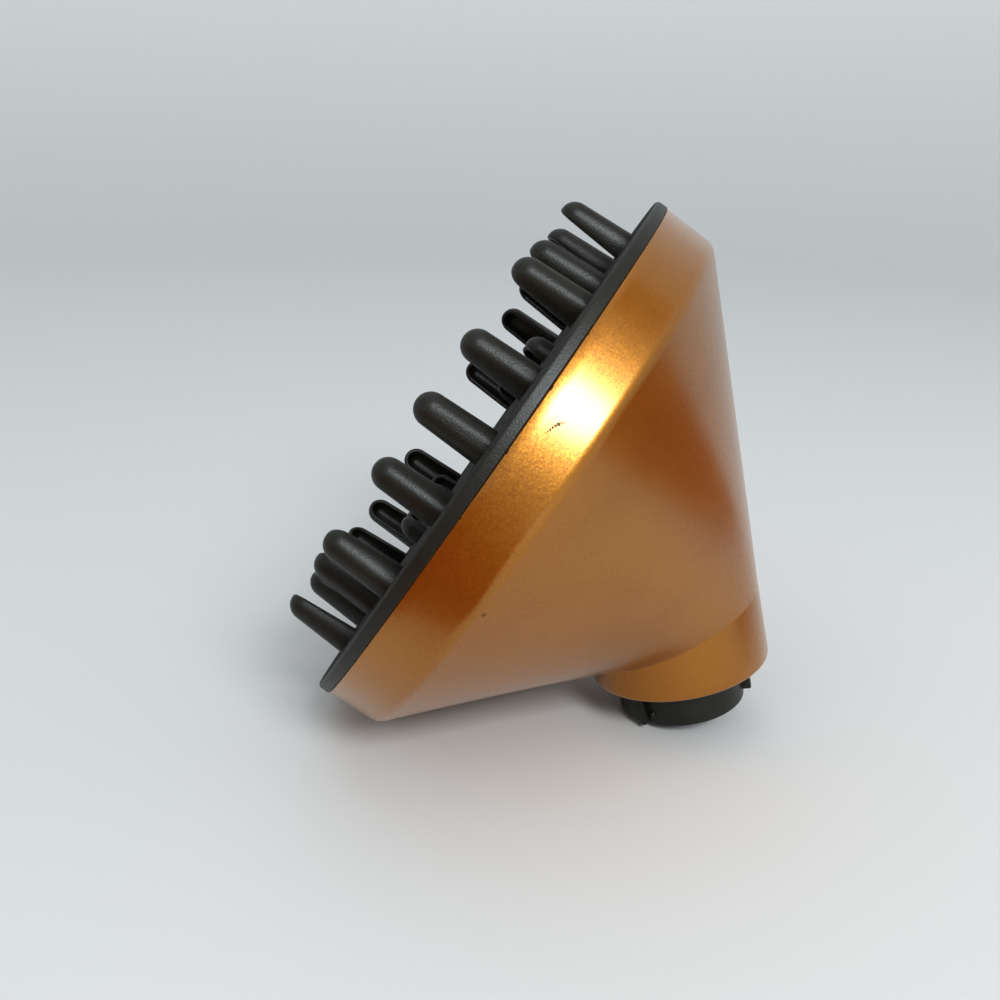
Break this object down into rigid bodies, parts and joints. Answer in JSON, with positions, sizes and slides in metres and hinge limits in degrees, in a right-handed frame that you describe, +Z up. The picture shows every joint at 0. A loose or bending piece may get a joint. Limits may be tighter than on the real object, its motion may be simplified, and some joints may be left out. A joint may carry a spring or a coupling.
{
  "type": "dryer diffuser",
  "caption": "Bowl-shaped hair dryer diffuser on an angled neck, with a face plate of hollow prongs and a connector collar with bayonet lugs.",
  "frame": {"origin": "on the floor under the middle of the object's overall box, in the pose in which it lies at rest", "axes": "+Z up, -X the side that the bowl opens toward, +X the side of the neck, and the XZ plane is the plane of symmetry"},
  "size_m": [0.1145, 0.1358, 0.1218],
  "materials": {
    "copper_paint": "satin metallic copper paint on moulded plastic",
    "dark_plastic": "finely grained satin",
    "steel": "zinc plated"
  },
  "bodies": {
    "root": {"bowl_shell": "copper_paint", "face_plate": "dark_plastic", "air_deflector": "dark_plastic", "deflector_screws": "steel", "connector_collar": "dark_plastic", "collar_screws": "steel", "outer_prong_01": "dark_plastic", "outer_prong_02": "dark_plastic", "outer_prong_03": "dark_plastic", "outer_prong_04": "dark_plastic", "outer_prong_05": "dark_plastic", "outer_prong_06": "dark_plastic", "outer_prong_07": "dark_plastic", "outer_prong_08": "dark_plastic", "outer_prong_09": "dark_plastic", "outer_prong_10": "dark_plastic", "middle_prong_01": "dark_plastic", "middle_prong_02": "dark_plastic", "middle_prong_03": "dark_plastic", "middle_prong_04": "dark_plastic", "middle_prong_05": "dark_plastic", "middle_prong_06": "dark_plastic", "middle_prong_07": "dark_plastic", "middle_prong_08": "dark_plastic", "middle_prong_09": "dark_plastic", "middle_prong_10": "dark_plastic", "inner_stub_01": "dark_plastic", "inner_stub_02": "dark_plastic", "inner_stub_03": "dark_plastic", "inner_stub_04": "dark_plastic", "inner_stub_05": "dark_plastic", "inner_stub_06": "dark_plastic", "inner_stub_07": "dark_plastic", "inner_stub_08": "dark_plastic", "inner_stub_09": "dark_plastic", "inner_stub_10": "dark_plastic"}
  },
  "joints": []
}
